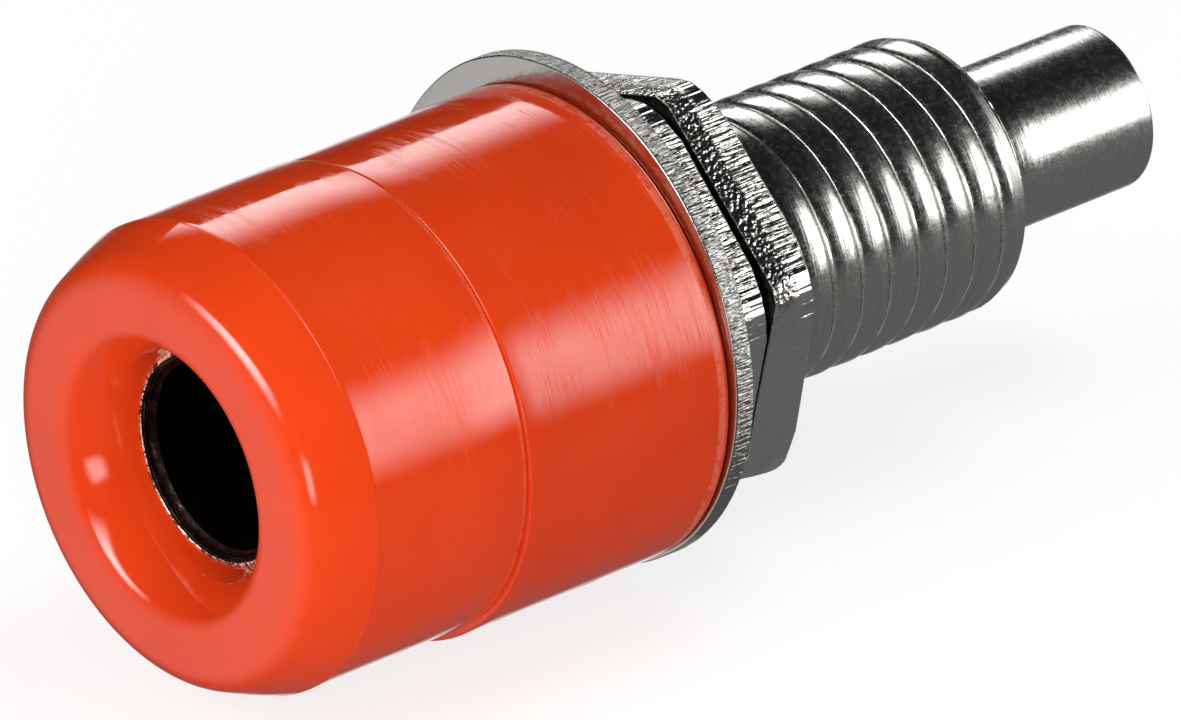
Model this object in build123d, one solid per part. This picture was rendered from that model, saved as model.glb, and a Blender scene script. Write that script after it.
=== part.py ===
# Panel-mounted banana socket for a 4 mm plug, in millimetres, +Z up.
# The axis of the socket is Y. The mouth faces -Y and the solder pin points to +Y.
# The origin is on the axis, in the plane where the front of the panel sits:
# the joint between the front cap and the rear collar.

from build123d import *
import math
import os

# Contact sleeve, turned from one bar: head, shank and solder pin
bore_radius = 2.0
bore_depth = 17.0
drill_tip_angle = 118.0
lead_in = 0.2
sleeve_front = -4.0
head_radius = 3.8
head_length = 1.6
shank_radius = 2.94
shank_end = 15.25
runout_length = 0.35
runout_depth = 0.12
shank_edge = 0.12
pin_radius = 1.745
pin_length = 4.37
pin_root = 0.3
pin_edge = 0.08

# Front cap, moulded round the head of the sleeve
cap_radius = 4.99
cap_crown_height = 1.4
mouth_gap = 0.05
inner_roll = 1.15
crown_flat = 0.5
front_roll = 0.76
front_roll_angle = 55.0
crease_drop = 1.43
cap_rear_edge = 0.06
recess_depth = 1.2

# Rear collar, which slides on the shank behind the panel
collar_radius = 5.04
collar_length = 5.27
collar_play = 0.16
collar_front_edge = 0.07
collar_rear_edge = 0.3
spigot_radius = 3.93
spigot_length = 1.0
spigot_play = 0.12

# Washer, punched from sheet, with its edges broken
washer_radius = 5.36
washer_thickness = 0.46
washer_play = 0.26
washer_front_edge = 0.1
washer_rear_edge = 0.08

# Two equal hexagon nuts, chamfered behind, with turned corners
nut_across_flats = 8.2
nut_thickness = 1.28
nut_corner_radius = 4.62
nut_chamfer_start = 4.32
nut_chamfer_angle = 30.0
nut_clearance = 0.04
nut_countersink = 0.18
clamp_nut_angle = 46.8
lock_nut_angle = 48.3

# How far each piece lies off the axis within its play, along one direction
offset_angle = -55.7
collar_offset = 0.085
washer_offset = -0.17
nut_offset = -0.12


def across(amount):
    """X and Z of a point that lies this far off the axis."""
    turn = math.radians(offset_angle)
    return amount * math.cos(turn), amount * math.sin(turn)


def turned(outline):
    """Solid made by turning a closed half outline, drawn as radius and Y, about Y."""
    return revolve(make_face(outline), axis=Axis.Y)


def circle_edges(solid, radius, y):
    """Round edges of a turned solid that have this radius and lie in this plane."""
    found = solid.edges().filter_by(GeomType.CIRCLE)
    return found.filter_by(lambda e: abs(e.radius - radius) < 1e-4 and abs(e.center().Y - y) < 1e-4)


def make_contact_sleeve():
    pin_end = shank_end + pin_length
    tip = bore_radius / math.tan(math.radians(drill_tip_angle / 2))
    runout_radius = shank_radius - runout_depth
    bore_end = sleeve_front + bore_depth
    sleeve = turned(Polyline(
        (bore_radius + lead_in, sleeve_front),
        (head_radius, sleeve_front),
        (head_radius, sleeve_front + head_length),
        (shank_radius, sleeve_front + head_length),
        (shank_radius, shank_end - runout_length),
        (runout_radius, shank_end),
        (pin_radius, shank_end),
        (pin_radius, pin_end),
        (0, pin_end),
        (0, bore_end + tip),
        (bore_radius, bore_end),
        (bore_radius, sleeve_front + lead_in),
        close=True,
    ))
    sleeve = chamfer(circle_edges(sleeve, runout_radius, shank_end), shank_edge)
    sleeve = chamfer(circle_edges(sleeve, pin_radius, shank_end), pin_root)
    return chamfer(circle_edges(sleeve, pin_radius, pin_end), pin_edge)


def make_front_cap():
    crown = sleeve_front - cap_crown_height
    mouth = bore_radius + lead_in + mouth_gap
    inner_center = mouth + inner_roll
    outer_center = inner_center + crown_flat
    crease = crown + crease_drop
    recess_radius = spigot_radius + spigot_play
    head_back = sleeve_front + head_length
    inner = EllipticalCenterArc((inner_center, sleeve_front), inner_roll, cap_crown_height, 180, arc_size=90)
    flat = Line((inner_center, crown), (outer_center, crown))
    front = CenterArc((outer_center, crown + front_roll), front_roll, 270, front_roll_angle)
    side = TangentArc(front @ 1, (cap_radius, crease), tangent=front % 1)
    rest = Polyline(
        (cap_radius, crease),
        (cap_radius, 0),
        (recess_radius, 0),
        (recess_radius, -recess_depth),
        (shank_radius, -recess_depth),
        (shank_radius, head_back),
        (head_radius, head_back),
        (head_radius, sleeve_front),
        (mouth, sleeve_front),
    )
    cap = turned([inner, flat, front, side, rest])
    return chamfer(circle_edges(cap, cap_radius, 0), cap_rear_edge)


def make_rear_collar():
    bore = shank_radius + collar_play
    collar = turned(Polyline(
        (bore, -spigot_length),
        (spigot_radius, -spigot_length),
        (spigot_radius, 0),
        (collar_radius, 0),
        (collar_radius, collar_length),
        (bore, collar_length),
        close=True,
    ))
    collar = chamfer(circle_edges(collar, collar_radius, 0), collar_front_edge)
    collar = fillet(circle_edges(collar, collar_radius, collar_length), collar_rear_edge)
    x, z = across(collar_offset)
    return Pos(x, 0, z) * collar


def make_washer():
    front = collar_length
    back = front + washer_thickness
    bore = shank_radius + washer_play
    section = Polyline((bore, front), (washer_radius, front), (washer_radius, back), (bore, back), close=True)
    washer = turned(section)
    washer = chamfer(circle_edges(washer, washer_radius, front), washer_front_edge)
    washer = chamfer(circle_edges(washer, washer_radius, back), washer_rear_edge)
    x, z = across(washer_offset)
    return Pos(x, 0, z) * washer


def make_nut(front, flat_angle):
    """Hexagon nut whose front face is at this Y, with one flat facing this angle from +X."""
    back = front + nut_thickness
    chamfer_depth = (nut_corner_radius - nut_chamfer_start) * math.tan(math.radians(nut_chamfer_angle))
    bore = shank_radius + nut_clearance
    mouth = bore + nut_countersink
    turning = turned(Polyline(
        (0, front),
        (nut_corner_radius, front),
        (nut_corner_radius, back - chamfer_depth),
        (nut_chamfer_start, back),
        (0, back),
        close=True,
    ))
    hexagon = RegularPolygon(nut_across_flats / 2, 6, major_radius=False, rotation=flat_angle - 30)
    prism = Pos(0, front, 0) * extrude(Plane.XZ * hexagon, -nut_thickness)
    x, z = across(nut_offset)
    hole = turned(Polyline(
        (0, front),
        (mouth, front),
        (bore, front + nut_countersink),
        (bore, back - nut_countersink),
        (mouth, back),
        (0, back),
        close=True,
    ))
    return Pos(x, 0, z) * (turning & prism) - hole


clamp_nut_front = collar_length + washer_thickness
lock_nut_front = clamp_nut_front + nut_thickness

nodes = {
    "contact_sleeve": make_contact_sleeve(),
    "front_cap": make_front_cap(),
    "rear_collar": make_rear_collar(),
    "washer": make_washer(),
    "clamp_nut": make_nut(clamp_nut_front, clamp_nut_angle),
    "lock_nut": make_nut(lock_nut_front, lock_nut_angle),
}

os.makedirs("parts", exist_ok=True)
for name, solid in nodes.items():
    solid.label = name
    export_step(solid, f"parts/{name}.step")
    box = solid.bounding_box()
    print(name, "volume", round(solid.volume, 2), "from", box.min, "to", box.max)
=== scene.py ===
import bmesh
import bpy
import math
from mathutils import Matrix, Vector, noise


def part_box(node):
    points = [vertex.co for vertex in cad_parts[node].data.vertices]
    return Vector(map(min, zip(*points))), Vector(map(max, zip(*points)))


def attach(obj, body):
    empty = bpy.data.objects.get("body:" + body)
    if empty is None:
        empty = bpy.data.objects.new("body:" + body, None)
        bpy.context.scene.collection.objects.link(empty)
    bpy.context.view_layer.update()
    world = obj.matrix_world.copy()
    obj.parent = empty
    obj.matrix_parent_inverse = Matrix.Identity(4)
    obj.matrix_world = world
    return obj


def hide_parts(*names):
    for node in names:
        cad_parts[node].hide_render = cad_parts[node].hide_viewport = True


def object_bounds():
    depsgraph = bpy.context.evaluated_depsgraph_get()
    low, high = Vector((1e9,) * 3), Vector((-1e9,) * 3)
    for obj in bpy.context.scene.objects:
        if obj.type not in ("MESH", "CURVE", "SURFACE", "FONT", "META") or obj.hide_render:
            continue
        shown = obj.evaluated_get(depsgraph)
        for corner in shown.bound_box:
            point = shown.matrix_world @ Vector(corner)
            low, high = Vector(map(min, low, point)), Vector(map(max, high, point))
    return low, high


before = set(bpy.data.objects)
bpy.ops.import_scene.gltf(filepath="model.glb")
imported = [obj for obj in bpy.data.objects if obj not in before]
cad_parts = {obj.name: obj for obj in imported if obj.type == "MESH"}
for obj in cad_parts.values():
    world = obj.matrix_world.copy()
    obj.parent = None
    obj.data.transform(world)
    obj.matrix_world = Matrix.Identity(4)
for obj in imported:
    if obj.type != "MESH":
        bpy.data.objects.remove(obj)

mm = 0.001
cadLow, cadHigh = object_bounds()
floorHeight = cadLow.z
print("frame loaded:", sorted(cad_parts))


# Small helpers

def direction(azimuth, elevation):
    # azimuth runs from +X toward +Y, elevation up from the horizon
    a, e = math.radians(azimuth), math.radians(elevation)
    return Vector((math.cos(a) * math.cos(e), math.sin(a) * math.cos(e), math.sin(e)))


def addObject(name, mesh):
    piece = bpy.data.objects.new(name, mesh)
    bpy.context.scene.collection.objects.link(piece)
    return piece


def meshFrom(name, points, faces):
    mesh = bpy.data.meshes.new(name)
    mesh.from_pydata([tuple(p) for p in points], [], faces)
    mesh.update()
    return mesh


def onlySeenInReflections(piece):
    piece.visible_camera = False
    piece.visible_diffuse = False
    piece.visible_transmission = False
    piece.visible_volume_scatter = False
    piece.visible_shadow = False


def newMaterial(name):
    material = bpy.data.materials.new(name)
    material.use_nodes = True
    tree = material.node_tree
    tree.nodes.clear()
    out = tree.nodes.new("ShaderNodeOutputMaterial")
    return material, tree, out


def node(tree, kind, inputs=None, **settings):
    made = tree.nodes.new(kind)
    for key, value in settings.items():
        setattr(made, key, value)
    for key, value in (inputs or {}).items():
        if isinstance(value, bpy.types.NodeSocket):
            tree.links.new(value, made.inputs[key])
        else:
            made.inputs[key].default_value = value
    return made


def math2(tree, operation, a, b=0.0, clamp=False):
    return node(tree, "ShaderNodeMath", {0: a, 1: b}, operation=operation, use_clamp=clamp).outputs[0]


def dot(tree, a, b):
    return node(tree, "ShaderNodeVectorMath", {0: a, 1: b}, operation="DOT_PRODUCT").outputs["Value"]


def ramp(tree, value, low, high, toLow=0.0, toHigh=1.0, smooth=True):
    kind = "SMOOTHSTEP" if smooth else "LINEAR"
    inputs = {"Value": value, "From Min": low, "From Max": high, "To Min": toLow, "To Max": toHigh}
    return node(tree, "ShaderNodeMapRange", inputs, interpolation_type=kind).outputs["Result"]


def mixColour(tree, factor, a, b):
    made = node(tree, "ShaderNodeMix", data_type="RGBA")
    for socket, value in ((made.inputs[0], factor), (made.inputs[6], a), (made.inputs[7], b)):
        if isinstance(value, bpy.types.NodeSocket):
            tree.links.new(value, socket)
        else:
            socket.default_value = value if socket.type != "RGBA" else (*value[:3], 1.0)
    return made.outputs[2]


# Camera: far away with a long lens, so that the view is close to parallel

shot = {
    "lookAt": (2.675, 3.647, 0.657),  # in mm
    "towardCamera": (0.6704, -0.5817, 0.4606),
    "frameWidth": 23.583,  # mm across the picture at the object
    "lens": 1000.0,
    "sensor": 36.0,
}


def makeCamera():
    data = bpy.data.cameras.new("camera")
    data.lens = shot["lens"]
    data.sensor_width = shot["sensor"]
    data.clip_end = 200.0
    camera = addObject("camera", data)
    away = shot["frameWidth"] * mm * shot["lens"] / shot["sensor"]
    toward = Vector(shot["towardCamera"]).normalized()
    camera.location = Vector(shot["lookAt"]) * mm + toward * away
    camera.rotation_euler = (-toward).to_track_quat("-Z", "Y").to_euler()
    bpy.context.scene.camera = camera


makeCamera()
bpy.context.scene.view_settings.view_transform = "Standard"
print("camera made")


# Studio: pale floor and soft lamps. Only reflections see the soft boxes and the dark flags round them; below
# the horizon the flags carry a painted reflection of the floor, which reflections don't see.

floorLook = {"size": 60.0, "paper": 0.7, "shownShade": 0.3, "shownGlow": 0.785}
ambient = 0.26

lamps = {  # level is what each adds to a white surface that faces it
    "keyLamp": {"azimuth": -97, "elevation": 32, "distance": 0.6, "size": 0.35, "level": 0.3},
    "cameraSideLamp": {"azimuth": -42, "elevation": 12, "distance": 0.07, "size": 0.04, "level": 0.5},
    "topLamp": {"azimuth": 70, "elevation": 70, "distance": 0.5, "size": 0.3, "level": 0.3},
    "rightLamp": {"azimuth": 35, "elevation": 16, "distance": 0.5, "size": 0.25, "level": 0.06},
}

softBoxes = {  # fade: share of the panel that each edge takes to fade, at left, right, bottom and top
    "keySoftBox": {
        "azimuth": -93, "elevation": 31, "width": 0.8, "height": 0.3, "roll": 0,
        "strength": 16.0, "fade": (0.5, 0.5, 0.55, 0.3),
    },
    "lowSoftBox": {
        "azimuth": -33, "elevation": 5, "width": 0.28, "height": 0.26, "roll": 0,
        "strength": 6.5, "fade": (0.35, 0.45, 0.35, 0.35),
    },
    "rearSoftBox": {
        "azimuth": 86, "elevation": 2, "width": 0.55, "height": 0.4, "roll": 0,
        "strength": 2.5, "fade": (0.4, 0.4, 0.4, 0.4),
    },
    "rightSoftBox": {
        "azimuth": 45, "elevation": 15, "width": 0.4, "height": 0.47, "roll": 0,
        "strength": 5.9, "fade": (0.4, 0.3, 0.35, 0.45),
    },
    "stripSoftBox": {
        "azimuth": 146, "elevation": 33, "width": 0.36, "height": 0.28, "roll": 27,
        "strength": 4.2, "fade": (0.2, 0.25, 0.06, 0.7),
    },
}
softBoxDistance = 0.6

# the flags' level below the horizon is a painted reflection of the floor
flags = {"distance": 2.0, "shade": 0.01, "paintedFloorLevel": 0.13}
paintedFloorGlows = {  # painted reflection of the floor, glowing on the flags: azimuth, elevation, inner and outer angle, strength
    "leftGlow": (-112, -22, 10, 62, 0.7),
    "farGlow": (139, -27, 1, 17, 1.0),
}


def makeFloor():
    half = floorLook["size"] / 2
    corners = [(-half, -half), (half, -half), (half, half), (-half, half)]
    mesh = meshFrom("floor", [(x, y, floorHeight) for x, y in corners], [(0, 1, 2, 3)])
    floor = addObject("floor", mesh)
    material, tree, out = newMaterial("paleFloor")
    path = node(tree, "ShaderNodeLightPath")
    seen = path.outputs["Is Camera Ray"]
    shade = ramp(tree, seen, 0, 1, floorLook["paper"], floorLook["shownShade"], smooth=False)
    colour = node(tree, "ShaderNodeCombineColor", {0: shade, 1: shade, 2: shade}).outputs[0]
    glow = math2(tree, "MULTIPLY", seen, floorLook["shownGlow"])
    diffuse = node(tree, "ShaderNodeBsdfDiffuse", {"Color": colour})
    light = node(tree, "ShaderNodeEmission", {"Color": (1, 1, 1, 1), "Strength": glow})
    both = node(tree, "ShaderNodeAddShader", {0: diffuse.outputs[0], 1: light.outputs[0]})
    tree.links.new(both.outputs[0], out.inputs["Surface"])
    mesh.materials.append(material)
    floor.visible_glossy = False


def makeWorld():
    world = bpy.data.worlds.new("paleStudio")
    bpy.context.scene.world = world
    world.use_nodes = True
    tree = world.node_tree
    tree.nodes.clear()
    out = tree.nodes.new("ShaderNodeOutputWorld")
    path = node(tree, "ShaderNodeLightPath")
    seen = math2(tree, "MAXIMUM", path.outputs["Is Camera Ray"], path.outputs["Is Glossy Ray"])
    seen = math2(tree, "MAXIMUM", seen, path.outputs["Is Transmission Ray"])
    strength = ramp(tree, seen, 0, 1, ambient, 1.0, smooth=False)
    light = node(tree, "ShaderNodeBackground", {"Color": (1, 1, 1, 1), "Strength": strength})
    tree.links.new(light.outputs[0], out.inputs["Surface"])


def makeLamp(name, look):
    data = bpy.data.lights.new(name, "AREA")
    data.shape = "DISK"
    data.size = look["size"]
    data.energy = look["level"] * math.pi ** 2 * look["distance"] ** 2
    lamp = addObject(name, data)
    toward = direction(look["azimuth"], look["elevation"])
    lamp.location = toward * look["distance"]
    lamp.rotation_euler = (-toward).to_track_quat("-Z", "Y").to_euler()
    lamp.visible_camera = False
    lamp.visible_glossy = False


def makeSoftBox(name, look):
    toward = direction(look["azimuth"], look["elevation"])
    east = direction(look["azimuth"] + 90, 0)
    north = toward.cross(east)
    turn = Matrix.Rotation(math.radians(look["roll"]), 3, toward)
    east, north = turn @ east, turn @ north
    centre = toward * softBoxDistance
    w, h = look["width"] / 2, look["height"] / 2
    corners = [(-1, -1), (1, -1), (1, 1), (-1, 1)]
    mesh = meshFrom(name, [centre + east * w * a + north * h * b for a, b in corners], [(0, 1, 2, 3)])
    layer = mesh.uv_layers.new(name="UVMap")
    for loop, (a, b) in enumerate(corners):
        layer.data[loop].uv = ((a + 1) / 2, (b + 1) / 2)
    panel = addObject(name, mesh)
    material, tree, out = newMaterial(name)
    place = node(tree, "ShaderNodeSeparateXYZ", {0: node(tree, "ShaderNodeTexCoord").outputs["UV"]})
    left, right, bottom, top = look["fade"]
    level = ramp(tree, place.outputs[0], 0, left)
    level = math2(tree, "MULTIPLY", level, ramp(tree, place.outputs[0], 1, 1 - right))
    level = math2(tree, "MULTIPLY", level, ramp(tree, place.outputs[1], 0, bottom))
    level = math2(tree, "MULTIPLY", level, ramp(tree, place.outputs[1], 1, 1 - top))
    level = math2(tree, "MULTIPLY", level, look["strength"])
    light = node(tree, "ShaderNodeEmission", {"Strength": level})
    clear = node(tree, "ShaderNodeBsdfTransparent")
    both = node(tree, "ShaderNodeAddShader", {0: light.outputs[0], 1: clear.outputs[0]})
    tree.links.new(both.outputs[0], out.inputs["Surface"])
    mesh.materials.append(material)
    onlySeenInReflections(panel)


def makeFlagsAndPaintedFloor():
    mesh = bpy.data.meshes.new("darkFlagsAndPaintedFloor")
    shape = bmesh.new()
    bmesh.ops.create_icosphere(shape, subdivisions=4, radius=flags["distance"])
    shape.to_mesh(mesh)
    shape.free()
    tent = addObject("darkFlagsAndPaintedFloor", mesh)
    material, tree, out = newMaterial("darkFlagsAndPaintedFloor")
    spot = node(tree, "ShaderNodeTexCoord").outputs["Object"]
    spot = node(tree, "ShaderNodeVectorMath", {0: spot}, operation="NORMALIZE").outputs[0]
    height = node(tree, "ShaderNodeSeparateXYZ", {0: spot}).outputs[2]
    # below the horizon the flags glow with a painted reflection of the floor
    level = ramp(tree, height, 0.0, -0.3, flags["shade"], flags["paintedFloorLevel"])
    for azimuth, elevation, inner, outer, strength in paintedFloorGlows.values():
        toward = tuple(direction(azimuth, elevation))
        near = dot(tree, spot, toward)
        glow = ramp(tree, near, math.cos(math.radians(outer)), math.cos(math.radians(inner)), 0, strength)
        level = math2(tree, "ADD", glow, level)
    light = node(tree, "ShaderNodeEmission", {"Strength": level})
    tree.links.new(light.outputs[0], out.inputs["Surface"])
    mesh.materials.append(material)
    onlySeenInReflections(tent)


makeFloor()
makeWorld()
makeFlagsAndPaintedFloor()
for name, look in lamps.items():
    makeLamp(name, look)
for name, look in softBoxes.items():
    makeSoftBox(name, look)
print("studio made")


# Shader groups that several finishes share. Places are in mm.

def newGroup(name, inputs, outputs):
    group = bpy.data.node_groups.new(name, "ShaderNodeTree")
    for label, kind, value in inputs:
        socket = group.interface.new_socket(label, in_out="INPUT", socket_type=kind)
        if value is not None:
            socket.default_value = value
    for label, kind in outputs:
        group.interface.new_socket(label, in_out="OUTPUT", socket_type=kind)
    return group, group.nodes.new("NodeGroupInput").outputs, group.nodes.new("NodeGroupOutput").inputs


def noiseValue(tree, place, scale, detail=3.0, rough=0.55):
    inputs = {"Vector": place, "Scale": scale, "Detail": detail, "Roughness": rough}
    return node(tree, "ShaderNodeTexNoise", inputs).outputs["Fac"]


def makeSpeckleGroup():
    # dark pits and stains: a broad cloud that lets fine grains through
    group, given, result = newGroup(
        "speckle",
        [("Place", "NodeSocketVector", None), ("Cloud Scale", "NodeSocketFloat", 1.5),
         ("Grain Scale", "NodeSocketFloat", 14.0), ("Cover", "NodeSocketFloat", 0.5),
         ("Softness", "NodeSocketFloat", 0.08)],
        [("Mask", "NodeSocketFloat"), ("Grain", "NodeSocketFloat")],
    )
    cloud = noiseValue(group, given["Place"], given["Cloud Scale"], 4.0)
    grain = noiseValue(group, given["Place"], given["Grain Scale"], 3.0, 0.65)
    both = math2(group, "ADD", math2(group, "MULTIPLY", cloud, 0.55), math2(group, "MULTIPLY", grain, 0.45))
    edge = math2(group, "SUBTRACT", 1.0, given["Cover"])
    low = math2(group, "SUBTRACT", edge, given["Softness"])
    high = math2(group, "ADD", edge, given["Softness"])
    group.links.new(ramp(group, both, low, high), result["Mask"])
    group.links.new(grain, result["Grain"])
    return group


def makeScratchGroup():
    # long thin marks: noise drawn out by the Stretch vector and cut to thin lines
    group, given, result = newGroup(
        "scratches",
        [("Place", "NodeSocketVector", None), ("Stretch", "NodeSocketVector", (1, 1, 1)),
         ("Thinness", "NodeSocketFloat", 0.62)],
        [("Mask", "NodeSocketFloat"), ("Grain", "NodeSocketFloat")],
    )
    both = {0: given["Place"], 1: given["Stretch"]}
    drawn = node(group, "ShaderNodeVectorMath", both, operation="MULTIPLY")
    grain = noiseValue(group, drawn.outputs[0], 1.0, 2.0)
    high = math2(group, "ADD", given["Thinness"], 0.06)
    group.links.new(ramp(group, grain, given["Thinness"], high), result["Mask"])
    group.links.new(grain, result["Grain"])
    return group


speckle = makeSpeckleGroup()
scratches = makeScratchGroup()


def useGroup(tree, group, inputs):
    made = node(tree, "ShaderNodeGroup", node_tree=group)
    for key, value in inputs.items():
        if isinstance(value, bpy.types.NodeSocket):
            tree.links.new(value, made.inputs[key])
        else:
            made.inputs[key].default_value = value
    return made.outputs


def placeInMm(tree):
    spot = node(tree, "ShaderNodeTexCoord").outputs["Object"]
    return node(tree, "ShaderNodeVectorMath", {0: spot, "Scale": 1 / mm}, operation="SCALE").outputs[0]


def aroundAxis(tree, place):
    # angle round the Y axis in turns, distance from it and place along it, all in mm but the angle
    parts = node(tree, "ShaderNodeSeparateXYZ", {0: place})
    x, y, z = parts.outputs
    angle = math2(tree, "DIVIDE", math2(tree, "ARCTAN2", z, x), 2 * math.pi)
    square = math2(tree, "ADD", math2(tree, "MULTIPLY", x, x), math2(tree, "MULTIPLY", z, z))
    radius = math2(tree, "SQRT", square)
    return angle, radius, y


# Finishes

def finishShader(tree, out, values):
    shader = node(tree, "ShaderNodeBsdfPrincipled", values)
    tree.links.new(shader.outputs[0], out.inputs["Surface"])


def bump(tree, height, distance, strength=1.0, normal=None):
    inputs = {"Height": height, "Distance": distance * mm, "Strength": strength}
    if normal is not None:
        inputs["Normal"] = normal
    return node(tree, "ShaderNodeBump", inputs).outputs["Normal"]


mouldedPlastic = {  # what the cap and the collar share
    "cloudScale": 0.35,
    "dustShare": 0.22,
    "marks": {"Stretch": (0.45, 17.0, 0.45), "Thinness": 0.52},
    "patchScale": 0.8,
    "glossScale": 2.2,
    "scuffRoughness": 0.16,
    "wornRoughness": 0.5,
    "peelScale": 1.8,
    "peelDepth": 0.003,
    "ior": 1.5,
}


def plasticFinish(name, look):
    s = mouldedPlastic
    material, tree, out = newMaterial(name)
    place = placeInMm(tree)
    along = aroundAxis(tree, place)[2]
    cloud = noiseValue(tree, place, s["cloudScale"], 3.0)
    colour = mixColour(tree, ramp(tree, cloud, 0.3, 0.7), look["colour"], look["deepColour"])
    dust = useGroup(tree, speckle, {
        "Place": place, "Cloud Scale": 1.1, "Grain Scale": 16.0, "Cover": 0.3, "Softness": 0.02})
    dusty = math2(tree, "MULTIPLY", dust["Mask"], s["dustShare"])
    colour = mixColour(tree, dusty, colour, look["dustColour"])
    # fine marks round the moulding, gathered where it was handled
    marks = useGroup(tree, scratches, {"Place": place, **s["marks"]})
    low, high = look["scuffed"]
    zone = math2(tree, "MULTIPLY", ramp(tree, along, low - 0.6, low), ramp(tree, along, high + 0.3, high))
    patch = ramp(tree, noiseValue(tree, place, s["patchScale"], 2.0), 0.42, 0.6)
    scuff = math2(tree, "MULTIPLY", math2(tree, "MULTIPLY", marks["Mask"], zone), patch)
    # a sanded edge, worn to a mottled line
    low, high, wear = look["wornEdge"]
    edge = math2(tree, "MULTIPLY", ramp(tree, along, low - 0.04, low), ramp(tree, along, high + 0.03, high))
    grit = useGroup(tree, speckle, {
        "Place": place, "Cloud Scale": 2.5, "Grain Scale": 11.0, "Cover": 0.55, "Softness": 0.06})
    worn = math2(tree, "MULTIPLY", math2(tree, "MULTIPLY", edge, grit["Mask"]), wear)
    colour = mixColour(tree, worn, colour, look["dustColour"])
    rough = ramp(tree, noiseValue(tree, place, s["glossScale"], 4.0), 0.3, 0.7, *look["roughness"])
    rough = math2(tree, "ADD", rough, math2(tree, "MULTIPLY", scuff, s["scuffRoughness"]))
    rough = math2(tree, "ADD", rough, math2(tree, "MULTIPLY", worn, s["wornRoughness"]))
    peel = noiseValue(tree, place, s["peelScale"], 2.0)
    normal = bump(tree, peel, s["peelDepth"])
    normal = bump(tree, scuff, look["scuffDepth"], 1.0, normal)
    finishShader(tree, out, {"Base Color": colour, "Roughness": rough, "Normal": normal, "IOR": s["ior"]})
    return material


def nickelFinish(name, look):
    material, tree, out = newMaterial(name)
    place = placeInMm(tree)
    stain = useGroup(tree, speckle, {
        "Place": place, "Cloud Scale": look["cloudScale"], "Grain Scale": look["grainScale"],
        "Cover": look["cover"], "Softness": look["softness"]})
    lines = useGroup(tree, scratches, {
        "Place": place, "Stretch": look["stretch"], "Thinness": look["thinness"]})
    colour = mixColour(tree, stain["Mask"], look["colour"], look["stainColour"])
    colour = mixColour(tree, math2(tree, "MULTIPLY", lines["Mask"], 0.35), colour, look["stainColour"])
    rough = ramp(tree, stain["Grain"], 0.3, 0.7, *look["roughness"])
    rough = math2(tree, "ADD", rough, math2(tree, "MULTIPLY", stain["Mask"], look["stainRoughness"]))
    grainStrength = 1.0
    dents = noiseValue(tree, place, look["dentScale"], 2.0)
    normal = bump(tree, dents, look["dentDepth"])
    if "sheared" in look:
        # sheared in fine ribs along the axis; flats are pitted on one side, turned corners are polished
        own = look["sheared"]
        x, z = own["centre"]
        local = node(tree, "ShaderNodeVectorMath", {0: place, 1: (x, 0, z)}, operation="SUBTRACT").outputs[0]
        radius, along = aroundAxis(tree, local)[1:]
        share = math2(tree, "DIVIDE", math2(tree, "SUBTRACT", along, own["start"]), own["thick"])
        share = math2(tree, "FRACT", share)
        turn = math.radians(own["pittedSide"])
        facing = dot(tree, local, (math.cos(turn), 0, math.sin(turn)))
        pitted = ramp(tree, facing, 0.6, 2.6, own["smoothShare"], 1.0)
        zone = math2(tree, "MULTIPLY", ramp(tree, radius, own["rim"] - 0.04, own["rim"]),
                     ramp(tree, share, own["ribsFrom"] - 0.08, own["ribsFrom"] + 0.04))
        corner = math2(tree, "MULTIPLY", ramp(tree, radius, own["corner"], own["corner"] + 0.05),
                       ramp(tree, share, own["ribsFrom"], own["ribsFrom"] + 0.1))
        plain = math2(tree, "SUBTRACT", 1.0, corner)
        grainStrength = math2(tree, "MULTIPLY", pitted, plain)
        ribStrength = math2(tree, "MULTIPLY", math2(tree, "MULTIPLY", zone, pitted), plain)
        ribs = useGroup(tree, scratches, {"Place": place, "Stretch": own["ribStretch"]})
        pits = noiseValue(tree, place, own["pitScale"], 1.0)
        pitStrength = math2(tree, "MULTIPLY", grainStrength, math2(tree, "SUBTRACT", 1.0, zone))
        colour = mixColour(tree, grainStrength, look["plainColour"], colour)
        colour = mixColour(tree, corner, colour, look["cornerColour"])
        rough = math2(tree, "ADD", rough, math2(tree, "MULTIPLY", ribStrength, own["ribRoughness"]))
        rough = math2(tree, "SUBTRACT", rough, math2(tree, "MULTIPLY", corner, 0.06))
        normal = bump(tree, pits, own["pitDepth"], pitStrength, normal)
        normal = bump(tree, ribs["Grain"], own["ribDepth"], ribStrength, normal)
    normal = bump(tree, stain["Grain"], look["grainDepth"], grainStrength, normal)
    normal = bump(tree, lines["Grain"], look["lineDepth"], 1.0, normal)
    finishShader(tree, out, {
        "Base Color": colour, "Metallic": 1.0, "Roughness": rough, "Normal": normal})
    return material


capLook = {
    "colour": (0.86, 0.062, 0.009), "deepColour": (0.82, 0.055, 0.008), "dustColour": (0.93, 0.35, 0.2),
    "scuffed": (-3.4, -0.4), "wornEdge": (-0.1, 0.0, 0.15), "roughness": (0.035, 0.08),
    "scuffDepth": 0.0003,
}
# the collar's colours are a shade darker than the cap's: painted shade for the light falling off toward the
# rear
collarLook = {
    "colour": (0.80, 0.058, 0.009), "deepColour": (0.74, 0.05, 0.008), "dustColour": (0.9, 0.38, 0.24),
    "scuffed": (0.8, 4.9), "wornEdge": (4.98, 5.12, 0.3), "roughness": (0.05, 0.11),
    "scuffDepth": 0.0009,
}
threadLook = {
    "colour": (0.43, 0.415, 0.39), "stainColour": (0.08, 0.07, 0.06), "cloudScale": 1.1,
    "grainScale": 12.0, "cover": 0.5, "softness": 0.05, "roughness": (0.24, 0.46),
    "stainRoughness": 0.12, "dentScale": 3.2, "dentDepth": 0.045, "grainDepth": 0.02,
    "stretch": (1.2, 9.0, 1.2), "thinness": 0.6, "lineDepth": 0.008,
}
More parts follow.
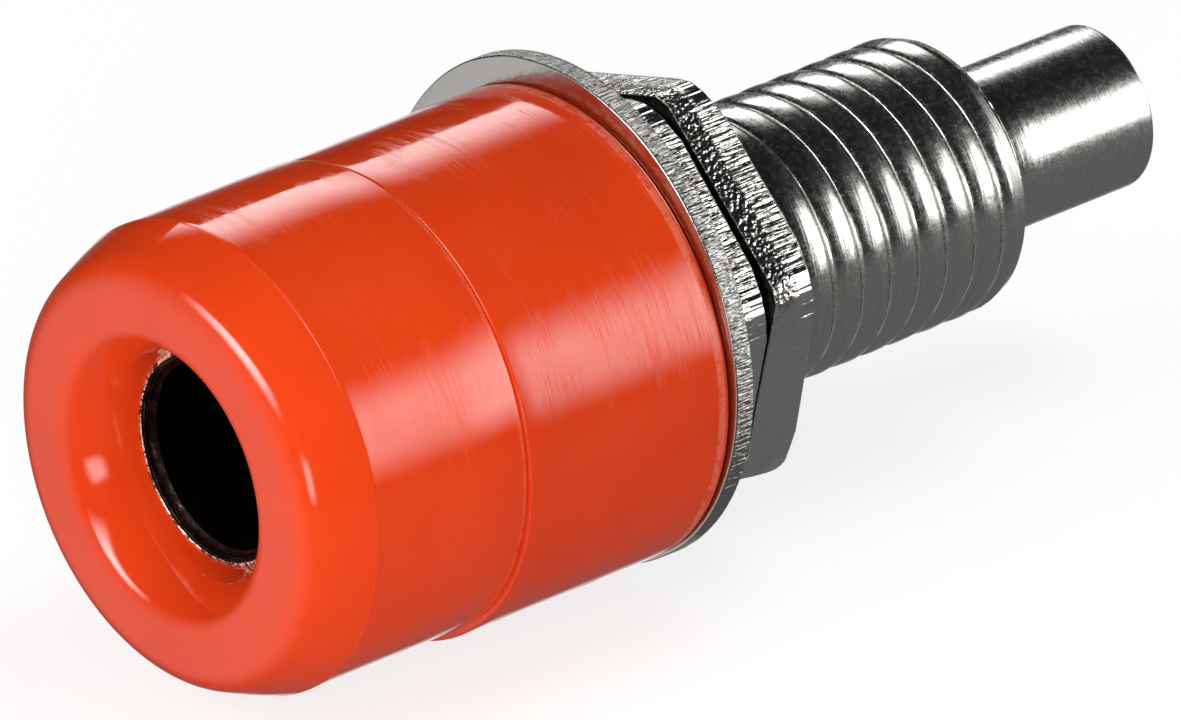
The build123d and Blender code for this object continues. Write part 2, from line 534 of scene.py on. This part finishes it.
pinLook = {
    "colour": (0.74, 0.73, 0.7), "stainColour": (0.5, 0.48, 0.45), "cloudScale": 0.8, "grainScale": 8.0,
    "cover": 0.3, "softness": 0.06, "roughness": (0.2, 0.29), "stainRoughness": 0.04, "dentScale": 1.2,
    "dentDepth": 0.006, "grainDepth": 0.003, "stretch": (0.6, 22.0, 0.6), "thinness": 0.58,
    "lineDepth": 0.005,
}
# near-black colour for the bore: painted shade for the deep hole
paintedShadeBoreLook = {
    "colour": (0.03, 0.022, 0.016), "stainColour": (0.008, 0.006, 0.005), "cloudScale": 0.9,
    "grainScale": 6.0, "cover": 0.5, "softness": 0.15, "roughness": (0.3, 0.45), "stainRoughness": 0.1,
    "dentScale": 1.0, "dentDepth": 0.004, "grainDepth": 0.006, "stretch": (0.5, 14.0, 0.5),
    "thinness": 0.6, "lineDepth": 0.008,
}
mouthRimLook = {
    "colour": (0.95, 0.86, 0.72), "stainColour": (0.1, 0.05, 0.03), "cloudScale": 4.0, "grainScale": 12.0,
    "cover": 0.5, "softness": 0.02, "roughness": (0.2, 0.35), "stainRoughness": 0.2, "dentScale": 7.0,
    "dentDepth": 0.03, "grainDepth": 0.01, "stretch": (1.0, 9.0, 1.0), "thinness": 0.6,
    "lineDepth": 0.004,
}
# near-black colour for the lead-in at the mouth: painted shade where the hole darkens
paintedShadeLeadInLook = {
    "colour": (0.06, 0.035, 0.03), "stainColour": (0.01, 0.007, 0.006), "cloudScale": 3.0,
    "grainScale": 9.0, "cover": 0.55, "softness": 0.08, "roughness": (0.2, 0.35), "stainRoughness": 0.2,
    "dentScale": 3.0, "dentDepth": 0.01, "grainDepth": 0.01, "stretch": (1.0, 9.0, 1.0), "thinness": 0.6,
    "lineDepth": 0.006,
}
paintedGapShadeLook = {  # faces that meet between the nuts, near black: painted shade for the deep gap between them
    "colour": (0.05, 0.045, 0.04), "stainColour": (0.015, 0.013, 0.012), "cloudScale": 2.0, "grainScale": 8.0,
    "cover": 0.5, "softness": 0.1, "roughness": (0.3, 0.45), "stainRoughness": 0.1, "dentScale": 2.0,
    "dentDepth": 0.004, "grainDepth": 0.01, "stretch": (2.0, 2.0, 2.0), "thinness": 0.6, "lineDepth": 0.002,
}
nutLook = {
    "colour": (0.84, 0.82, 0.79), "stainColour": (0.34, 0.31, 0.29), "plainColour": (0.84, 0.815, 0.785),
    "cornerColour": (0.95, 0.94, 0.92), "cloudScale": 2.0, "grainScale": 9.0, "cover": 0.45,
    "softness": 0.05, "roughness": (0.16, 0.24), "stainRoughness": 0.1, "dentScale": 3.0,
    "dentDepth": 0.006, "grainDepth": 0.012, "stretch": (9.0, 1.4, 9.0), "thinness": 0.6,
    "lineDepth": 0.006,
    "sheared": {
        "centre": (-0.068, 0.099), "start": 5.73, "thick": 1.28, "rim": 4.0, "ribsFrom": 0.5, "corner": 4.52,
        "pittedSide": 78.0, "smoothShare": 0.05, "ribStretch": (17.0, 1.3, 17.0), "ribDepth": 0.045,
        "ribRoughness": 0.02, "pitScale": 8.0, "pitDepth": 0.05,
    },
}
washerLook = {
    "colour": (0.5, 0.485, 0.46), "stainColour": (0.34, 0.32, 0.29), "plainColour": (0.5, 0.485, 0.46),
    "cornerColour": (0.9, 0.88, 0.85), "cloudScale": 1.6, "grainScale": 9.0, "cover": 0.34,
    "softness": 0.05, "roughness": (0.1, 0.18), "stainRoughness": 0.1, "dentScale": 1.5,
    "dentDepth": 0.006, "grainDepth": 0.003, "stretch": (2.0, 2.0, 2.0), "thinness": 0.66,
    "lineDepth": 0.002,
    "sheared": {
        "centre": (-0.096, 0.14), "start": 5.27, "thick": 0.48, "rim": 5.28, "ribsFrom": 0.08, "corner": 6.0,
        "pittedSide": 60.0, "smoothShare": 0.85, "ribStretch": (20.0, 2.2, 20.0), "ribDepth": 0.06,
        "ribRoughness": 0.16, "pitScale": 7.0, "pitDepth": 0.003,
    },
}

capPlastic = plasticFinish("capPlastic", capLook)
collarPlastic = plasticFinish("collarPlastic", collarLook)
threadNickel = nickelFinish("threadNickel", threadLook)
pinNickel = nickelFinish("pinNickel", pinLook)
paintedShadeBoreNickel = nickelFinish("paintedShadeBoreNickel", paintedShadeBoreLook)
mouthRimNickel = nickelFinish("mouthRimNickel", mouthRimLook)
paintedShadeLeadInNickel = nickelFinish("paintedShadeLeadInNickel", paintedShadeLeadInLook)
paintedGapShadeNickel = nickelFinish("paintedGapShadeNickel", paintedGapShadeLook)
nutNickel = nickelFinish("nutNickel", nutLook)
washerSteel = nickelFinish("washerSteel", washerLook)
print("finishes made")


# Turned forms: a list of rings, each a list of points round the Y axis, all in mm

def arc(centre, radius, start, end, steps):
    # points of an arc in the radius-Y plane, or of an ellipse where radius is a pair
    wide, high = radius if isinstance(radius, tuple) else (radius, radius)
    turns = [math.radians(start + (end - start) * i / steps) for i in range(steps + 1)]
    return [(centre[0] + wide * math.cos(t), centre[1] + high * math.sin(t)) for t in turns]


def ring(radius, y, segments, centre=(0.0, 0.0)):
    # radius and y are numbers or functions of the angle in degrees
    made = []
    for i in range(segments):
        angle = -360 * i / segments
        r = radius(angle) if callable(radius) else radius
        h = y(angle) if callable(y) else y
        a = math.radians(angle)
        made.append(Vector((centre[0] + r * math.cos(a), h, centre[1] + r * math.sin(a))))
    return made


def bridge(rings, closed):
    # quads between neighbouring rings; closed joins the last ring to the first
    count = len(rings[0])
    points = [p * mm for r in rings for p in r]
    faces = []
    for j in range(len(rings) if closed else len(rings) - 1):
        here, there = j * count, (j + 1) % len(rings) * count
        for i in range(count):
            k = (i + 1) % count
            faces.append((here + i, here + k, there + k, there + i))
    return points, faces


def tidyMesh(mesh, sharpAngle, mergeDistance=1e-5):
    # one closed skin with outward faces and crisp edges
    shape = bmesh.new()
    shape.from_mesh(mesh)
    bmesh.ops.remove_doubles(shape, verts=shape.verts, dist=mergeDistance * mm)
    bmesh.ops.dissolve_degenerate(shape, dist=mergeDistance * mm, edges=shape.edges)
    bmesh.ops.recalc_face_normals(shape, faces=shape.faces)
    for face in shape.faces:
        face.smooth = True
    shape.to_mesh(mesh)
    shape.free()
    mesh.set_sharp_from_angle(angle=math.radians(sharpAngle))
    mesh.update()


def turnedPiece(name, outline, segments, centre, material, sharpAngle=35):
    rings = [ring(r, y, segments, centre) for r, y in outline]
    mesh = meshFrom(name, *bridge(rings, closed=True))
    mesh.materials.append(material)
    tidyMesh(mesh, sharpAngle)
    return addObject(name, mesh)


def centreOf(nodeName):
    low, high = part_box(nodeName)
    return (low.x + high.x) / 2 / mm, (low.z + high.z) / 2 / mm


def radiusOf(nodeName):
    low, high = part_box(nodeName)
    return (high.x - low.x) / 2 / mm


def spanOf(nodeName):
    low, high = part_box(nodeName)
    return low.y / mm, high.y / mm


def stand(piece, nodeName, body):
    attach(piece, body)
    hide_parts(nodeName)


# Front cap

capShape = {
    "segments": 192,
    "mouth": 2.25,
    "rimPlace": -4.0,
    "crownHeight": 1.4,
    "innerRoll": 0.5,
    "innerRollAngle": 45.0,
    "mouthAngle": 80.0,
    "outerCentre": 3.9,
    "frontRoll": 0.76,
    "frontRollAngle": 64.0,
    "creaseDrop": 1.43,
    "creaseStep": 0.013,
    "rearRound": 0.05,
    "recess": (4.05, 1.2),
    "headBack": -2.4,
    "headRadius": 3.8,
    "shankRadius": 2.96,
}


def capOutline(s, radius):
    crown = s["rimPlace"] - s["crownHeight"]
    outerCentre = s["outerCentre"]
    crease = crown + s["creaseDrop"]
    # the mouth: a long gentle arc up from the rim and a tighter roll onto the crown
    small, bend, steep = s["innerRoll"], math.radians(s["innerRollAngle"]), math.radians(s["mouthAngle"])
    long = (s["crownHeight"] - small * (1 - math.cos(bend))) / (math.cos(bend) - math.cos(steep))
    longCentre = (s["mouth"] + long * math.sin(steep), s["rimPlace"] + long * math.cos(steep))
    longArc = arc(longCentre, long, 270 - s["mouthAngle"], 270 - s["innerRollAngle"], 18)
    joinR, joinY = longArc[-1]
    smallCentre = (joinR + small * math.sin(bend), joinY + small * math.cos(bend))
    inner = longArc + arc(smallCentre, small, 270 - s["innerRollAngle"], 270, 10)[1:]
    front = arc((outerCentre, crown + s["frontRoll"]), s["frontRoll"], 270, 270 + s["frontRollAngle"], 12)
    # the side arc starts along the front roll and ends at the crease
    startR, startY = front[-1]
    tangent = math.radians(s["frontRollAngle"])
    step = s["creaseStep"]
    chordR, chordY = radius - step - startR, crease - startY
    chord = math.hypot(chordR, chordY)
    turn = math.atan2(chordY, chordR) - tangent
    sideRadius = chord / 2 / math.sin(turn)
    sideCentre = (startR - sideRadius * math.sin(tangent), startY + sideRadius * math.cos(tangent))
    begin = math.degrees(tangent) - 90
    side = arc(sideCentre, sideRadius, begin, begin + math.degrees(2 * turn), 14)
    e = s["rearRound"]
    # a fine raised line, a groove and then the straight wall
    wall = [(radius - step * 0.5, crease + step * 0.5), (radius - step * 0.45, crease + step)]
    wall += [(radius - step, crease + step * 1.5), (radius - step * 0.2, crease + step * 2)]
    wall += [(radius, crease + step * 2.6)]
    wall += [(radius, crease * share) for share in (0.97, 0.66, 0.33)]
    rear = arc((radius - e, -e), e, 0, 90, 5)
    recessRadius, recessDepth = s["recess"]
    inside = [
        (recessRadius + 0.05, 0), (recessRadius, -0.05), (recessRadius, -recessDepth),
        (s["shankRadius"], -recessDepth), (s["shankRadius"], s["headBack"]),
        (s["headRadius"], s["headBack"]), (s["headRadius"], s["rimPlace"]),
    ]
    return inner + front + side[1:] + wall + rear + inside


def makeFrontCap():
    outline = capOutline(capShape, radiusOf("front_cap"))
    piece = turnedPiece("front_cap_skin", outline, capShape["segments"], (0.0, 0.0), capPlastic, 20)
    stand(piece, "front_cap", "socket")


makeFrontCap()
print("front cap made")


# Rear collar

collarShape = {
    "segments": 192,
    "frontRound": 0.05,
    "rearRound": 0.12,
    "bore": 3.1,
    "spigotRadius": 3.93,
    "spigotLength": 1.0,
}


def makeRearCollar():
    s = collarShape
    radius = radiusOf("rear_collar")
    back = spanOf("rear_collar")[1]
    f, e = s["frontRound"], s["rearRound"]
    front = arc((radius - f, f), f, -90, 0, 7)
    wall = [(radius, back * share) for share in (0.08, 0.3, 0.5, 0.7, 0.85)]
    rear = arc((radius - e, back - e), e, 0, 90, 10)
    inside = [
        (s["bore"], back), (s["bore"], -s["spigotLength"]),
        (s["spigotRadius"], -s["spigotLength"]), (s["spigotRadius"], 0),
    ]
    piece = turnedPiece(
        "rear_collar_skin", front + wall + rear + inside, s["segments"], centreOf("rear_collar"),
        collarPlastic, 28)
    stand(piece, "rear_collar", "rear_stack")


makeRearCollar()
print("rear collar made")


# Washer: punched from sheet, so its front edge is rolled and wavy and its rim is sheared in fine ribs

washerShape = {
    "segments": 1080,
    "bore": 3.2,
    "roll": 0.04,
    "rollWave": 0.02,
    "ribDepth": 0.012,
    "rearBurr": 0.03,
}


def roundNoise(angle, frequency, seed):
    # smooth noise that closes on itself round the axis, from -1 to 1
    a = math.radians(angle)
    return noise.noise(Vector((math.cos(a) * frequency, math.sin(a) * frequency, seed)))


def makeWasher():
    s = washerShape
    front, back = spanOf("washer")
    radius = radiusOf("washer")
    centre = centreOf("washer")
    n = s["segments"]

    def ribbed(inset, share):
        def at(angle):
            rib = roundNoise(angle, 48, 3.1) + 0.6 * roundNoise(angle, 90, 8.7)
            wave = roundNoise(angle, 5, 1.3) * s["rollWave"]
            return radius - inset - wave * (1 - share) - s["ribDepth"] * share * abs(rib) - 0.006
        return at

    rings = []
    for part in range(7):
        t = math.radians(15 * part)
        inset = s["roll"] * (1 - math.sin(t))
        rings.append(ring(ribbed(inset, 0.25 * part / 6), front + s["roll"] * (1 - math.cos(t)), n, centre))
    for share in (0.45, 0.62, 0.8):
        rings.append(ring(ribbed(0, min(1, share * 1.6)), front + (back - front) * share, n, centre))
    e = s["rearBurr"]
    rings.append(ring(ribbed(0, 1), back - e, n, centre))
    rings.append(ring(ribbed(e * 0.35, 1), back - e * 0.3, n, centre))
    rings.append(ring(ribbed(e, 0.6), back, n, centre))
    rings.append(ring(radius - 0.4, back, n, centre))
    rings.append(ring(s["bore"] + 0.04, back, n, centre))
    rings.append(ring(s["bore"], back - 0.04, n, centre))
    rings.append(ring(s["bore"], front + 0.04, n, centre))
    rings.append(ring(s["bore"] + 0.04, front, n, centre))
    rings.append(ring(radius - 0.6, front, n, centre))
    mesh = meshFrom("washer_skin", *bridge(rings, closed=True))
    mesh.materials.append(washerSteel)
    tidyMesh(mesh, 40)
    piece = addObject("washer_skin", mesh)
    stand(piece, "washer", "rear_stack")


makeWasher()
print("washer made")


# Hexagon nuts: turned corners, chamfered behind, with shear ribs along the rear half of each flat

nutShape = {
    "segments": 1260,
    "acrossFlats": 8.2,
    "cornerRadius": 4.62,
    "cornerSoftness": 0.012,
    "chamferStart": 4.32,
    "chamferAngle": 30.0,
    "flatEdge": 0.035,
    "bore": 2.98,
    "countersink": 0.18,
    "offset": -0.12,
    "offsetAngle": -55.7,
    "ribDepth": 0.034,
    "ribBand": 0.5,
    "rearFall": 0.05,
    "frontFall": 0.1,
    "gapSide": 65.0,
    "seatRadius": 3.5,
}
nuts = {
    "clamp_nut": {"flatAngle": 46.8, "seed": 2.0, "paintedShadeBands": (0,), "taper": (-43.2, 0.2, 0.9)},
    "lock_nut": {"flatAngle": 48.3, "seed": 5.0, "paintedShadeBands": (-6, -5), "taper": (-41.7, 0.2, 0.9)},
}


def makeNut(nodeName, own):
    s = nutShape
    n = s["segments"]
    front, back = spanOf(nodeName)
    lean = math.radians(s["offsetAngle"])
    centre = (s["offset"] * math.cos(lean), s["offset"] * math.sin(lean))

    def outline(angle, up=9.0):
        # up is the height over the front face, where the worn corner is smaller
        away = math.radians((angle - own["flatAngle"] + 30) % 60 - 30)
        flat = s["acrossFlats"] / 2 / math.cos(away)
        place, cut, reach = own["taper"]
        near = max(0.0, min(1.0, (math.cos(math.radians(angle - place)) - 0.86) / 0.06))
        corner = s["cornerRadius"] - cut * near * max(0.0, 1 - up / reach)
        k = s["cornerSoftness"]
        return -k * math.log(math.exp(-(flat - 4) / k) + math.exp(-(corner - 4) / k)) + 4

    def gap(angle):
        # the faces between the nuts stand apart on one side and meet on the other
        share = max(0.0, min(1.0, math.cos(math.radians(angle - s["gapSide"])) / 0.85))
        return 0.12 + 0.88 * share * share * (3 - 2 * share)

    def chamfer(angle):
        return max(s["flatEdge"], outline(angle) - s["chamferStart"])

    def drop(angle):
        return chamfer(angle) * math.tan(math.radians(s["chamferAngle"])) + 0.01 + s["rearFall"] * gap(angle)

    def rib(angle, share):
        lines = roundNoise(angle, 42, own["seed"]) + 0.5 * roundNoise(angle, 95, own["seed"] + 3)
        return s["ribDepth"] * share * max(0.0, lines)

    def rear(inset, above):
        # inset is measured from the chamfer's inner edge, above is the height over the rear plane
        return ring(lambda a: outline(a) - chamfer(a) - inset,
                    lambda a: back - above - s["rearFall"] * gap(a), n, centre)

    def side(down, share, inset=0.0):
        # down is measured from where the chamfer meets the side
        return ring(
            lambda a: outline(a, back - drop(a) - down - front) - inset - rib(a, share) - 0.004,
            lambda a: back - drop(a) - down, n, centre)

    def low(inset, up):
        return ring(lambda a: outline(a, up) - inset - 0.004,
                    lambda a: front + up + s["frontFall"] * gap(a), n, centre)

    seat = s["seatRadius"]
    rings = [ring(seat, back, n), rear(0.03, 0), rear(0.0, 0.004)]
    rings += [side(-0.012, 0.2, 0.02), side(0.01, 0.5, 0.004), side(0.05, 1)]
    rings += [side(s["ribBand"] * t, 1 - 0.1 * t) for t in (0.4, 0.75)]
    rings += [side(s["ribBand"], 0.5), side(s["ribBand"] + 0.07, 0)]
    rings += [low(0, 0.3), low(0, 0.07), low(0.01, 0.015), low(0.03, 0), ring(seat, front, n)]
    b, c = s["bore"], s["countersink"]
    rings += [ring(b + c, front, n), ring(b, front + c, n), ring(b, back - c, n), ring(b + c, back, n)]
    mesh = meshFrom(nodeName + "_skin", *bridge(rings, closed=True))
    mesh.materials.append(nutNickel)
    mesh.materials.append(paintedGapShadeNickel)
    # bands of faces between rings, counted from the rear seat; these gap faces take the near-black painted
    # shade
    dark = own["paintedShadeBands"] if own["paintedShadeBands"][0] >= 0 else [len(rings) + b for b in own["paintedShadeBands"]]
    for band in dark:
        for face in range(band * n, (band + 1) * n):
            mesh.polygons[face].material_index = 1
    tidyMesh(mesh, 40)
    piece = addObject(nodeName + "_skin", mesh)
    stand(piece, nodeName, nodeName)


for nutName, own in nuts.items():
    makeNut(nutName, own)
print("nuts made")


# Contact sleeve: head, bore and pin are turned, and the thread between them is a helical grid

threadShape = {  # in mm
    "Segments": 128,
    "Samples Per Turn": 22,
    "Pitch": 0.75,
    "Crest Radius": 2.945,
    "Depth": 0.245,
    "Start": -0.618,
    "End": 15.25,
    "Rim Place": 10.632,
    "Fade": 0.9,
    "End Radius": 2.7,
    "Chamfer": 0.12,
    "Run Out Slope": 0.34,
    "Unevenness": 0.03,
    "Dent Scale": 2.6,
    "Dent Level": 0.62,
}
threadProfile = [  # share of a turn behind the rim, and height of the thread there
    (0.0, 0.9), (0.03, 0.62), (0.065, 0.06), (0.1, 0.0), (0.13, 0.12), (0.165, 0.6), (0.22, 0.74),
    (0.3, 0.83), (0.4, 0.905), (0.5, 0.955), (0.62, 0.99), (0.75, 1.0), (0.87, 0.99), (0.95, 0.955),
    (1.0, 0.9),
]
threadSpacing = [(0.0, 0.0), (0.55, 0.2), (0.8, 0.62), (1.0, 1.0)]  # more rows in the groove
sleeveShape = {
    "bore": 2.0,
    "boreEnd": 13.0,
    "tip": 1.2,
    "mouth": 2.2,
    "front": -4.0,
    "head": (3.8, -2.4),
    "shank": 2.945,
    "pin": 1.745,
    "pinRoot": (0.3, 0.35),
    "neck": (1.64, 16.35),
    "pinEnd": 19.62,
    "pinEdge": 0.1,
}


def makeThreadTree():
    tree = bpy.data.node_groups.new("rolledThread", "GeometryNodeTree")
    tree.interface.new_socket("Geometry", in_out="INPUT", socket_type="NodeSocketGeometry")
    for label, value in threadShape.items():
        kind = "NodeSocketInt" if isinstance(value, int) else "NodeSocketFloat"
        tree.interface.new_socket(label, in_out="INPUT", socket_type=kind)
    tree.interface.new_socket("Material", in_out="INPUT", socket_type="NodeSocketMaterial")
    tree.interface.new_socket("Geometry", in_out="OUTPUT", socket_type="NodeSocketGeometry")
    given = tree.nodes.new("NodeGroupInput").outputs
    result = tree.nodes.new("NodeGroupOutput").inputs

    def calc(operation, a, b=0.0, c=0.0):
        return node(tree, "ShaderNodeMath", {0: a, 1: b, 2: c}, operation=operation).outputs[0]

    def shapedBy(value, stations):
        # straight runs between the stations, so that nothing overshoots
        curve = node(tree, "ShaderNodeFloatCurve", {"Value": value})
        points = curve.mapping.curves[0].points
        for station in stations[1:-1]:
            points.new(*station)
        points[0].location = stations[0]
        points[len(points) - 1].location = stations[-1]
        for point in points:
            point.handle_type = "VECTOR"
        curve.mapping.update()
        return curve.outputs[0]

    # rows reach a turn further than the thread, because each starts a turn lower at its first point
    length = calc("SUBTRACT", given["End"], given["Start"])
    turns = calc("ADD", calc("DIVIDE", length, given["Pitch"]), 1.0)
    rows = calc("CEIL", calc("MULTIPLY", turns, given["Samples Per Turn"]))
    acrossPoints = calc("ADD", given["Segments"], 1.0)
    alongPoints = calc("ADD", rows, 1.0)
    grid = node(tree, "GeometryNodeMeshGrid", {
        "Size X": 1.0, "Size Y": 1.0, "Vertices X": acrossPoints, "Vertices Y": alongPoints})
    spot = node(tree, "ShaderNodeSeparateXYZ", {0: node(tree, "GeometryNodeInputPosition").outputs[0]})
    roundShare = calc("ADD", spot.outputs[0], 0.5)
    alongShare = calc("ADD", spot.outputs[1], 0.5)
    row = calc("ROUND", calc("MULTIPLY", alongShare, rows))
    turn = calc("FLOOR", calc("DIVIDE", calc("ADD", row, 0.5), given["Samples Per Turn"]))
    part = calc("SUBTRACT", calc("DIVIDE", row, given["Samples Per Turn"]), turn)
    part = shapedBy(part, threadSpacing)
    turnsUp = calc("SUBTRACT", calc("ADD", calc("ADD", turn, part), roundShare), 1.0)
    raw = calc("MULTIPLY_ADD", turnsUp, given["Pitch"], given["Start"])
    y = calc("MINIMUM", calc("MAXIMUM", raw, given["Start"]), given["End"])

    behind = calc("DIVIDE", calc("SUBTRACT", y, given["Rim Place"]), given["Pitch"])
    phase = calc("FRACT", calc("SUBTRACT", behind, roundShare))
    height = shapedBy(phase, threadProfile)
    fade = ramp(tree, y, given["Start"], calc("ADD", given["Start"], given["Fade"]))
    low = calc("MULTIPLY", calc("MULTIPLY", calc("SUBTRACT", 1.0, height), given["Depth"]), fade)
    radius = calc("SUBTRACT", given["Crest Radius"], low)
    # small dents, which fade out at both ends so that the end rings stay round
    angle = calc("MULTIPLY", roundShare, -2 * math.pi)
    cosine, sine = calc("COSINE", angle), calc("SINE", angle)
    onShank = node(tree, "ShaderNodeCombineXYZ", {
        0: calc("MULTIPLY", cosine, given["Crest Radius"]), 1: y,
        2: calc("MULTIPLY", sine, given["Crest Radius"])})
    wobble = noiseValue(tree, onShank.outputs[0], given["Dent Scale"], 2.0, 0.5)
    wobble = calc("MULTIPLY", calc("SUBTRACT", wobble, given["Dent Level"]), given["Unevenness"])
    wobble = calc("MULTIPLY", wobble, fade)
    radius = calc("ADD", radius, wobble)
    toEnd = calc("SUBTRACT", given["End"], y)
    chamferLimit = calc("ADD", given["End Radius"], toEnd)
    runOut = calc("MULTIPLY", calc("SUBTRACT", toEnd, given["Chamfer"]), given["Run Out Slope"])
    runOutLimit = calc("ADD", calc("ADD", given["End Radius"], given["Chamfer"]), runOut)
    radius = calc("MINIMUM", radius, calc("MINIMUM", chamferLimit, runOutLimit))
    # the end ring is exactly the end radius, so that it meets the turned end face
    atEnd = calc("LESS_THAN", toEnd, 1e-5)
    radius = calc("ADD", calc("MULTIPLY", radius, calc("SUBTRACT", 1.0, atEnd)),
                  calc("MULTIPLY", given["End Radius"], atEnd))
    place = node(tree, "ShaderNodeCombineXYZ", {
        0: calc("MULTIPLY", cosine, radius), 1: y, 2: calc("MULTIPLY", sine, radius)})
    place = node(tree, "ShaderNodeVectorMath", {0: place.outputs[0], "Scale": mm}, operation="SCALE")
    shaped = node(tree, "GeometryNodeSetPosition", {
        "Geometry": grid.outputs[0], "Position": place.outputs[0]})
    whole = node(tree, "GeometryNodeRealizeInstances", {"Geometry": shaped.outputs[0]})
    dressed = node(tree, "GeometryNodeSetMaterial", {
        "Geometry": whole.outputs[0], "Material": given["Material"]})
    tree.links.new(dressed.outputs[0], result["Geometry"])
    return tree


def makeThread():
    maker = addObject("threadMaker", bpy.data.meshes.new("threadMaker"))
    modifier = maker.modifiers.new("rolledThread", "NODES")
    modifier.node_group = makeThreadTree()
    values = {**threadShape, "Material": threadNickel}
    for item in modifier.node_group.interface.items_tree:
        if item.in_out == "INPUT" and item.name in values:
            modifier[item.identifier] = values[item.name]
    seen = maker.evaluated_get(bpy.context.evaluated_depsgraph_get())
    mesh = bpy.data.meshes.new_from_object(seen)
    maker.modifiers.clear()
    bpy.data.objects.remove(maker)
    return mesh


def makeContactSleeve():
    s = sleeveShape
    n = threadShape["Segments"]
    parts = bmesh.new()
    parts.from_mesh(makeThread())

    def turned(outline, slotNumber, tipped=None):
        rings = [ring(r, y, n) for r, y in outline]
        points, faces = bridge(rings, closed=False)
        made = [parts.verts.new(p) for p in points]
        for face in faces:
            parts.faces.new([made[i] for i in face]).material_index = slotNumber
        if tipped is not None:
            tip = parts.verts.new(Vector((0, tipped * mm, 0)))
            last = made[-n:]
            for i in range(n):
                parts.faces.new([last[i], last[(i + 1) % n], tip]).material_index = slotNumber

    # rear end: end face, rounded shoulder and pin
    end, edge = threadShape["End"], s["pinEdge"]
    wide, root = s["pinRoot"]
    neck, neckEnd = s["neck"]
    shoulder = arc((neck + wide, end + root), s["pinRoot"], 270, 180, 10)
    rise, length = s["pin"] - neck, neckEnd - end - root
    shoulder += [(neck + rise * t, end + root + length * t) for t in (0.33, 0.66, 1)]
    pinEnd = arc((s["pin"] - edge, s["pinEnd"] - edge), edge, 0, 90, 6)
    body = [(s["pin"], neckEnd + (s["pinEnd"] - neckEnd - edge) * t) for t in (0.02, 0.35, 0.7)]
    endFace = [(0.9, s["pinEnd"])]
    turned([(threadShape["End Radius"], end)] + shoulder + body + pinEnd + endFace, 1, s["pinEnd"])
    # front end: shank, head and the rim seen in the mouth
    headRadius, headBack = s["head"]
    mouth, front, bore = s["mouth"], s["front"], s["bore"]
    turned([(s["shank"], threadShape["Start"]), (s["shank"], headBack), (headRadius, headBack),
            (headRadius, front), (mouth + 0.1, front), (mouth + 0.02, front)], 3)
    bead = arc((mouth + 0.01, front + 0.005), (0.03, 0.022), -60, -200, 6)
    turned([(mouth + 0.02, front)] + bead + [(mouth - 0.02, front + 0.045)], 3)
    steps = [(mouth - 0.02, front + 0.045), (mouth - 0.05, front + 0.06), (mouth - 0.055, front + 0.1)]
    steps += [(mouth - 0.085, front + 0.105), (mouth - 0.1, front + 0.16), (bore, front + 0.24)]
    turned(steps, 4)
    turned([(bore, front + 0.24), (bore, front + 2), (bore, 0), (bore, 6), (bore, s["boreEnd"])], 2,
           s["boreEnd"] + s["tip"])
    mesh = bpy.data.meshes.new("contact_sleeve_skin")
    parts.to_mesh(mesh)
    parts.free()
    for material in (threadNickel, pinNickel, paintedShadeBoreNickel, mouthRimNickel, paintedShadeLeadInNickel):
        mesh.materials.append(material)
    tidyMesh(mesh, 38, 2e-4)
    piece = addObject("contact_sleeve_skin", mesh)
    stand(piece, "contact_sleeve", "socket")


makeContactSleeve()
print("contact sleeve made")
